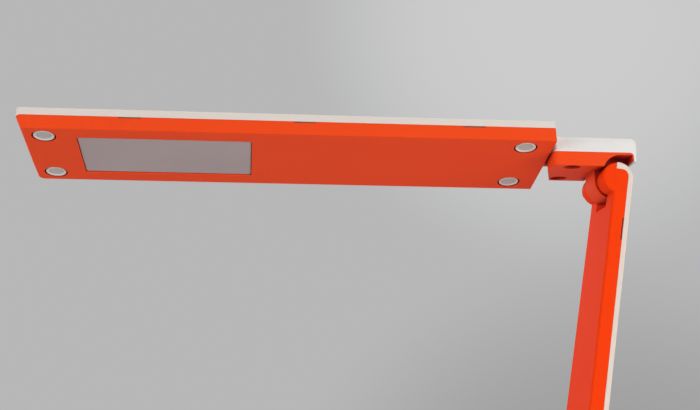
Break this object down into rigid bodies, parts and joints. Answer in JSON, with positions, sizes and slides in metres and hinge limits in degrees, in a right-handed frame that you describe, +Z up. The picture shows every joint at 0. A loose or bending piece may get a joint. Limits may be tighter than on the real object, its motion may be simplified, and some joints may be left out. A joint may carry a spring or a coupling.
{
  "type": "folding desk lamp",
  "caption": "Folding LED desk lamp: flat base, leaning arm on a friction hinge, short neck and a long flat head that swivels about its own length.",
  "frame": {"origin": "middle of the base's underside, on the rubber pad's face", "axes": "+Z up; +X along the base from its free end to the lower hinge; +Y from the near long side to the far one; every fold axis runs along +Y"},
  "size_m": [0.3357, 0.064, 0.3472],
  "materials": {
    "pad": "matt moulded rubber",
    "orange": "smooth moulded, satin gloss",
    "white": "smooth moulded, satin gloss",
    "steel": "zinc plated",
    "spring_steel": "oiled spring steel",
    "ballast": "mill finish",
    "board": "solder resist",
    "black": "moulded, matt",
    "ribbon": "flat cable insulation",
    "button": "smooth moulded",
    "cap": "fine satin",
    "frosted": "frosted, translucent",
    "reflector": "bright white",
    "phosphor": "silicone phosphor",
    "spreader": "plain sheet",
    "lens": "clear light guide"
  },
  "bodies": {
    "base": {"base_pad": "pad", "base_tray": "orange", "base_cover": "white", "base_screws": "steel", "hinge_block": "orange", "block_screws": "steel", "ballast_plate": "ballast", "ballast_screws": "steel", "control_board": "board", "board_parts": "black", "board_screws": "steel", "tact_switch": "black", "supply_socket": "steel", "indicator_lens": "lens"},
    "button": {"power_button": "button", "switch_plunger": "button"},
    "arm": {"lower_hinge_pin": "steel", "lower_friction_washers": "spring_steel", "arm_inner_shell": "orange", "arm_outer_shell": "white", "arm_screws": "steel", "arm_ribbon": "ribbon", "upper_hinge_pin": "steel", "upper_friction_washers": "spring_steel"},
    "neck": {"neck_lower_shell": "orange", "neck_upper_shell": "white", "neck_screws": "steel", "swivel_spindle": "steel", "swivel_washer": "spring_steel", "spindle_clip": "spring_steel"},
    "head": {"head_tray": "orange", "head_cover": "white", "head_screws": "steel", "screw_caps": "cap", "diffuser": "frosted", "reflector": "reflector", "light_board": "spreader", "light_chips": "phosphor", "heat_spreader": "spreader", "spreader_screws": "steel", "head_ribbon": "ribbon"}
  },
  "joints": [
    {"name": "arm_fold", "type": "hinge", "parent": "base", "child": "arm", "pos_m": [0.133, 0, 0.0365], "axis": [0, 1, 0], "range_deg": [-98.8, 11.2]},
    {"name": "neck_fold", "type": "hinge", "parent": "arm", "child": "neck", "pos_m": [0.17737, 0, 0.32309], "axis": [0, 1, 0], "range_deg": [-81.2, 68.8]},
    {"name": "head_swivel", "type": "hinge", "parent": "neck", "child": "head", "pos_m": [0.14647, 0, 0.33459], "axis": [1, 0, 0], "range_deg": [-167.6, 12.4]},
    {"name": "button_press", "type": "slide", "parent": "base", "child": "button", "axis": [0, 0, 1], "range_m": [-0.0008, 0], "stiffness_N_per_m": 1200, "springref_m": 0.0004}
  ]
}
